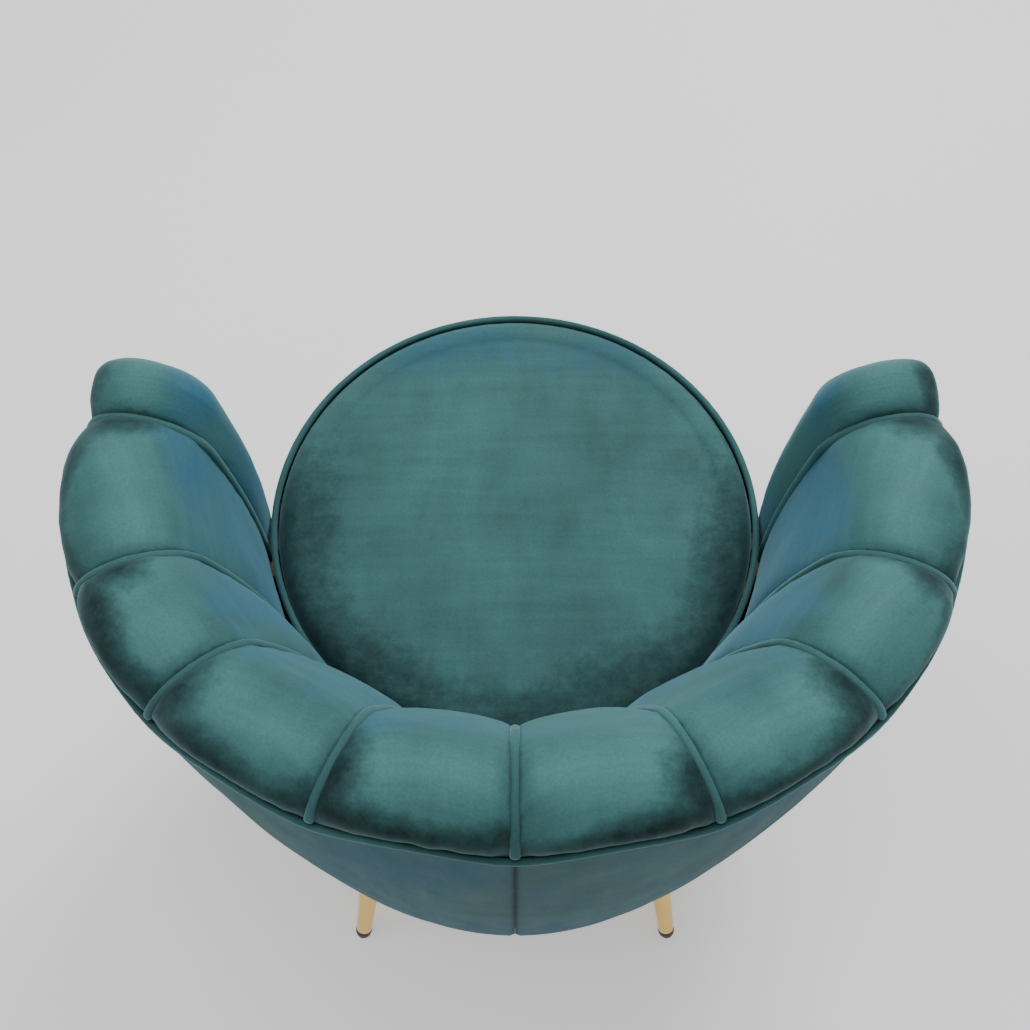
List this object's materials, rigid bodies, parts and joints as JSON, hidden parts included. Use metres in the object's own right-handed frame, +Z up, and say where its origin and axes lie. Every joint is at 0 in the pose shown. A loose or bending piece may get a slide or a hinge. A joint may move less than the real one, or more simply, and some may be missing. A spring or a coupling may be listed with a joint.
{
  "type": "scallop back armchair",
  "caption": "Low armchair with a fan of channelled velvet petals for a back and arms, a round tight seat and slim tapered splayed metal legs",
  "frame": {"origin": "on the floor, under the middle of the chair's box", "axes": "+Z up, the chair's front faces -Y, +X is the sitter's left"},
  "size_m": [0.799, 0.6766, 0.7399],
  "materials": {
    "velvet": "short pile teal velvet over foam",
    "velvet_cord": "teal velvet covered cord",
    "gold_metal": "gold-coloured mirror plating on steel tube",
    "glide_plastic": "dark brown moulded plastic",
    "plywood": "raw plywood",
    "plain_steel": "zinc-plated steel",
    "webbing": "elastic woven webbing",
    "felt": "grey felt",
    "base_cloth": "black non-woven cloth"
  },
  "bodies": {
    "root": {"base_board": "plywood", "channel_welt_centre": "velvet_cord", "channel_welt_left_1": "velvet_cord", "channel_welt_left_2": "velvet_cord", "channel_welt_left_3": "velvet_cord", "channel_welt_left_4": "velvet_cord", "channel_welt_right_1": "velvet_cord", "channel_welt_right_2": "velvet_cord", "channel_welt_right_3": "velvet_cord", "channel_welt_right_4": "velvet_cord", "dust_cover": "base_cloth", "front_rail": "plywood", "glide_back_left": "glide_plastic", "glide_back_right": "glide_plastic", "glide_front_left": "glide_plastic", "glide_front_right": "glide_plastic", "leg_back_left": "gold_metal", "leg_back_right": "gold_metal", "leg_front_left": "gold_metal", "leg_front_right": "gold_metal", "leg_plate_back_left": "plain_steel", "leg_plate_back_right": "plain_steel", "leg_plate_front_left": "plain_steel", "leg_plate_front_right": "plain_steel", "leg_studs": "plain_steel", "outside_back_left": "velvet", "outside_back_right": "velvet", "petal_left_1": "velvet", "petal_left_2": "velvet", "petal_left_3": "velvet", "petal_left_4": "velvet", "petal_left_5": "velvet", "petal_right_1": "velvet", "petal_right_2": "velvet", "petal_right_3": "velvet", "petal_right_4": "velvet", "petal_right_5": "velvet", "plate_screws": "plain_steel", "rib_centre": "plywood", "rib_left_1": "plywood", "rib_left_2": "plywood", "rib_left_3": "plywood", "rib_right_1": "plywood", "rib_right_2": "plywood", "rib_right_3": "plywood", "rim_welt": "velvet_cord", "seat_band": "velvet", "seat_cushion": "velvet", "seat_ring": "plywood", "seat_underlay": "felt", "seat_welt": "velvet_cord", "strap_cross_back": "webbing", "strap_cross_front": "webbing", "strap_cross_middle": "webbing", "strap_long_centre": "webbing", "strap_long_left": "webbing", "strap_long_right": "webbing", "top_rail": "plywood"}
  },
  "joints": []
}
